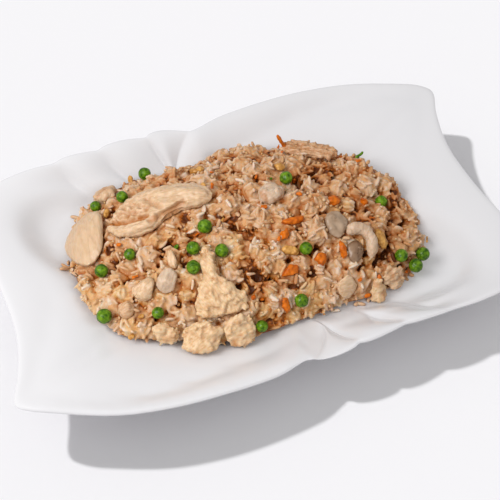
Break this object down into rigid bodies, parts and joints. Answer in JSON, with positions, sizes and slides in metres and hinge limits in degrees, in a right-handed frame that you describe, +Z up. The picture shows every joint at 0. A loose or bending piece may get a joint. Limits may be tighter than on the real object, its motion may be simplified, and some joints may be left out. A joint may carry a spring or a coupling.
{
  "type": "plate of chicken egg fried rice",
  "caption": "White wavy rectangular platter with fluted long sides, filled with a heap of fried rice with chicken, peas, carrot, egg and onion.",
  "frame": {"origin": "on the table under the middle of the platter", "axes": "+X along the platter, +Y towards the fluted side that lies further from the viewer in the picture, +Z up"},
  "size_m": [0.3292, 0.2166, 0.0549],
  "materials": {
    "glaze": "white gloss glaze",
    "rice": "slightly oily cooked rice",
    "chicken": "moist cooked chicken",
    "pea": "soft gloss pea skin",
    "carrot": "moist cooked carrot",
    "egg": "fried egg",
    "onion": "moist cooked onion"
  },
  "bodies": {
    "root": {"platter": "glaze", "fried_rice": "rice", "chicken_left_slab": "chicken", "chicken_long_strip": "chicken", "chicken_fork": "chicken", "chicken_nugget": "chicken", "chicken_lump": "chicken", "chicken_flake_back": "chicken", "chicken_flake_front": "chicken", "chicken_chunk_left": "chicken", "chicken_chunk_pale": "chicken", "chicken_chunk_top": "chicken", "chicken_chunk_right": "chicken", "chicken_chunk_edge": "chicken", "chicken_chunk_small": "chicken", "chicken_chunk_brown": "chicken", "chicken_slab_right": "chicken", "chicken_back_strip": "chicken", "chicken_curl": "chicken", "pea_1": "pea", "pea_2": "pea", "pea_3": "pea", "pea_4": "pea", "pea_5": "pea", "pea_6": "pea", "pea_7": "pea", "pea_8": "pea", "pea_9": "pea", "pea_10": "pea", "pea_11": "pea", "pea_12": "pea", "pea_13": "pea", "pea_14": "pea", "pea_15": "pea", "pea_16": "pea", "pea_17": "pea", "pea_18": "pea", "pea_19": "pea", "carrot_1": "carrot", "carrot_2": "carrot", "carrot_3": "carrot", "carrot_4": "carrot", "carrot_5": "carrot", "carrot_6": "carrot", "carrot_7": "carrot", "carrot_8": "carrot", "egg_right": "egg", "egg_middle": "egg", "egg_back": "egg", "egg_left": "egg", "onion_leaf": "onion", "onion_sheet": "onion"}
  },
  "joints": []
}
